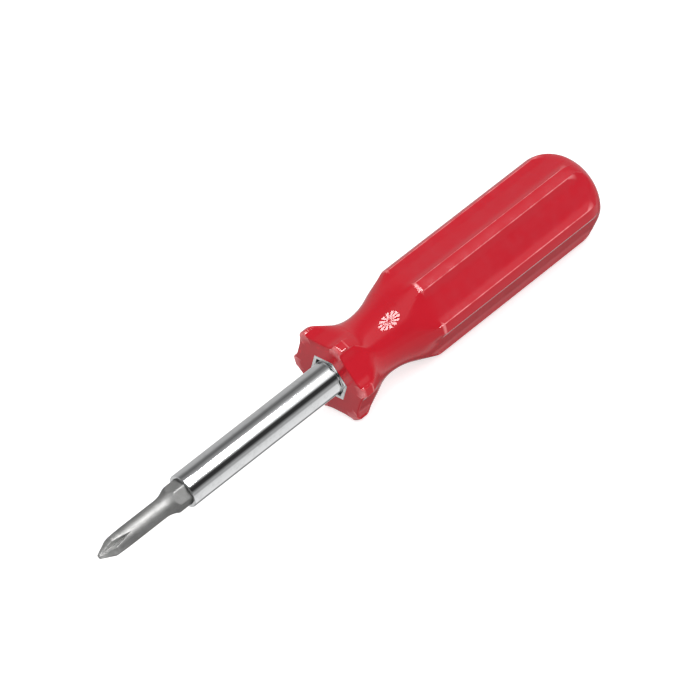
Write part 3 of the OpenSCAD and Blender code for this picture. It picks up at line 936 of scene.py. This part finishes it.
def lit_nylon():
    """White nylon, woven thin, with a lamp behind it. It gives gloss an even glow."""
    material, tree, _ = blank("umbrella_nylon_lit")
    glow = add(tree, "ShaderNodeEmission", {"Color": (1, 1, 1, 1), "Strength": UMBRELLA_GLOW})
    add(tree, "ShaderNodeOutputMaterial", {"Surface": glow.outputs[0]})
    return material


def gloss_only(obj):
    """A reflector that shows in gloss alone, so that it can stand anywhere round the tool."""
    obj.visible_camera = obj.visible_diffuse = obj.visible_shadow = obj.visible_transmission = False
    obj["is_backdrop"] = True
    return obj


def facing(centre):
    """Turn that points an object's own Z from there towards the origin, with its own X level along the tool."""
    ahead = -Vector(centre).normalized()
    along = (Vector((1, 0, 0)) - ahead * ahead.x).normalized()
    return Matrix((along, ahead.cross(along), ahead)).transposed().to_4x4()


def umbrella(v):
    """A white umbrella: lit panels between dark ribs, each with a hollow hem, round a dark hub."""
    points, faces = [], []
    panel = FULL_TURN / RIBS
    for k in range(RIBS):
        steps = np.linspace(RIB_GAP, 1 - RIB_GAP, 7)
        base = len(points)
        for s in steps:
            t = panel * (k + s)
            rim = v.umbrella_radius * (1 - HEM * math.sin(math.pi * s))
            points += [(c * UMBRELLA_TILT * math.cos(t), c * math.sin(t), 0) for c in (HUB * rim, rim)]
        faces += [
            (base + 2 * i, base + 2 * i + 1, base + 2 * i + 3, base + 2 * i + 2) for i in range(len(steps) - 1)
        ]
    mesh = bpy.data.meshes.new("umbrella")
    mesh.from_pydata(points, [], faces)
    mesh.materials.append(lit_nylon())
    cloth = place("umbrella", mesh)
    cloth.matrix_world = Matrix.Translation(v.umbrella_centre) @ facing(v.umbrella_centre)
    gloss_only(cloth)


def studio_world(scene):
    """A white room for the eye, an even one for soft light, and for gloss the walls of a studio, as bands round the
    tool's axis."""
    world = bpy.data.worlds.new("studio")
    world.use_nodes = True
    tree = world.node_tree
    tree.nodes.clear()
    way = add(tree, "ShaderNodeTexCoord").outputs["Generated"]
    xyz = add(tree, "ShaderNodeSeparateXYZ", {0: way}).outputs
    turn = add(tree, "ShaderNodeMath", {0: xyz[2], 1: xyz[1]}, operation="ARCTAN2")
    share = add(tree, "ShaderNodeMapRange", {0: turn.outputs[0], 1: -math.pi, 2: math.pi})
    ramp = add(tree, "ShaderNodeValToRGB", {0: share.outputs[0]})
    stops = ramp.color_ramp.elements
    stops.remove(stops[1])
    for bearing, bright in ROOM:
        stop = stops[0] if bearing == ROOM[0][0] else stops.new((bearing + 180) / 360)
        stop.position, stop.color = (bearing + 180) / 360, (bright, bright, bright, 1)
    # The end of the room that the tip points to is dark
    end_on = add(
        tree, "ShaderNodeMapRange", {0: xyz[0], 1: 0.8, 2: 0.95}, interpolation_type="SMOOTHSTEP"
    )
    room = add(
        tree, "ShaderNodeMix",
        {0: end_on.outputs[0], MIX_A: ramp.outputs[0], MIX_B: (0.03, 0.03, 0.03, 1)}, data_type="RGBA",
    )
    ray = add(tree, "ShaderNodeLightPath").outputs
    walls = add(
        tree, "ShaderNodeMix",
        {0: ray["Is Glossy Ray"], MIX_A: (AMBIENT, AMBIENT, AMBIENT, 1), MIX_B: room.outputs[MIX_RESULT]},
        data_type="RGBA",
    )
    seen = add(
        tree, "ShaderNodeMix",
        {0: ray["Is Camera Ray"], MIX_A: walls.outputs[MIX_RESULT], MIX_B: (1, 1, 1, 1)}, data_type="RGBA",
    )
    back = add(tree, "ShaderNodeBackground", {"Color": seen.outputs[MIX_RESULT], "Strength": 1.0})
    add(tree, "ShaderNodeOutputWorld", {"Surface": back.outputs[0]})
    scene.world = world


def painted_board(v):
    """Board painted matt white. It gives the eye a plain pale ground, lit so that shadows wash out."""
    material, tree, at = blank("board_painted_matt")
    # Unevenness of the roller, 40 mm across
    rolled = add(tree, "ShaderNodeTexNoise", {"Vector": at, "Scale": per_metre(40), "Detail": 1.0})
    tint = add(
        tree, "ShaderNodeMix",
        {0: rolled.outputs[0], MIX_A: shade(v.floor, 0.97), MIX_B: shade(v.floor)}, data_type="RGBA",
    )
    ray = add(tree, "ShaderNodeLightPath")
    glow = add(tree, "ShaderNodeMath", {0: ray.outputs["Is Camera Ray"], 1: FLOOR_GLOW}, operation="MULTIPLY")
    paint = add(
        tree, "ShaderNodeBsdfPrincipled",
        {"Base Color": tint.outputs[MIX_RESULT], "Roughness": 0.9, "Specular IOR Level": 0.0,
         "Emission Color": (1, 1, 1, 1), "Emission Strength": glow.outputs[0]},
    )
    add(tree, "ShaderNodeOutputMaterial", {"Surface": paint.outputs[0]})
    return material


class SCREW_OT_stage(bpy.types.Operator):
    """Sets the floor, the lights and the camera"""

    bl_idname = "screw.stage"
    bl_label = "Stage"

    def execute(self, context):
        scene, v = context.scene, context.scene.screw_stage
        studio_world(scene)
        umbrella(v)

        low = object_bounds()[0].z
        bm = bmesh.new()
        bmesh.ops.create_circle(bm, cap_ends=True, segments=96, radius=FLOOR_RADIUS)
        mesh = bpy.data.meshes.new("floor")
        bm.to_mesh(mesh)
        bm.free()
        floor = place("floor", mesh)
        floor.location.z = low - FLOOR_DROP
        floor.visible_glossy = False
        mesh.materials.append(painted_board(v))
        floor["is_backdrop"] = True

        lamp = bpy.data.lights.new("key", "AREA")
        lamp.shape, lamp.size, lamp.energy = "DISK", 2.2 * v.umbrella_radius, KEY_WATTS
        key = bpy.data.objects.new("key", lamp)
        scene.collection.objects.link(key)
        key.matrix_world = (
            Matrix.Translation(v.umbrella_centre) @ facing(v.umbrella_centre) @ Matrix.Rotation(math.pi, 4, "X")
        )
        key.visible_glossy = key.visible_camera = False

        a, e, r = v.azimuth, v.elevation, v.roll
        back = Vector((math.sin(a) * math.cos(e), -math.cos(a) * math.cos(e), math.sin(e)))
        level = Vector((math.cos(a), math.sin(a), 0))
        upright = back.cross(level)
        right = level * math.cos(r) + upright * math.sin(r)
        up = upright * math.cos(r) - level * math.sin(r)
        camera = bpy.data.objects.new("camera", bpy.data.cameras.new("camera"))
        camera.data.lens, camera.data.sensor_width = v.lens, 36
        camera.data.clip_start, camera.data.clip_end = 0.05, 30
        camera.matrix_world = Matrix.Translation(back * v.distance + right * v.across + up * v.upward) @ Matrix(
            (right, up, back)
        ).transposed().to_4x4()
        scene.collection.objects.link(camera)
        scene.camera = camera
        scene.view_settings.view_transform = "Standard"
        scene.view_settings.look = "None"
        return {"FINISHED"}


# ---------------------------------------------------------------- add-on

GROUPS = {
    "screw_handle": HandleValues,
    "screw_sleeve": SleeveValues,
    "screw_barrel": BarrelValues,
    "screw_large_bit": LargeBitValues,
    "screw_small_bit": SmallBitValues,
    "screw_steel": SteelValues,
    "screw_stage": StageValues,
}
OPERATORS = (
    SCREW_OT_handle, SCREW_OT_sleeve, SCREW_OT_barrel, SCREW_OT_bits, SCREW_OT_detents, SCREW_OT_stage
)


class SCREW_PT_panel(bpy.types.Panel):
    """Lists the values and the steps that build the screwdriver"""

    bl_idname = "SCREW_PT_panel"
    bl_label = "Screwdriver"
    bl_space_type = "VIEW_3D"
    bl_region_type = "UI"
    bl_category = "Screwdriver"

    def draw(self, context):
        for operator in OPERATORS:
            self.layout.operator(operator.bl_idname)
        for name, group in GROUPS.items():
            box = self.layout.box()
            for key in group.__annotations__:
                box.prop(getattr(context.scene, name), key)


def register():
    for kind in (*GROUPS.values(), *OPERATORS, SCREW_PT_panel):
        bpy.utils.register_class(kind)
    for name, group in GROUPS.items():
        setattr(bpy.types.Scene, name, bpy.props.PointerProperty(type=group))


def unregister():
    for name in GROUPS:
        delattr(bpy.types.Scene, name)
    for kind in reversed((*GROUPS.values(), *OPERATORS, SCREW_PT_panel)):
        bpy.utils.unregister_class(kind)


def main():
    register()
    bpy.ops.screw.handle()
    bpy.ops.screw.sleeve()
    bpy.ops.screw.barrel()
    bpy.ops.screw.bits()
    bpy.ops.screw.detents()
    bpy.ops.screw.stage()


if __name__ == "__main__":
    main()
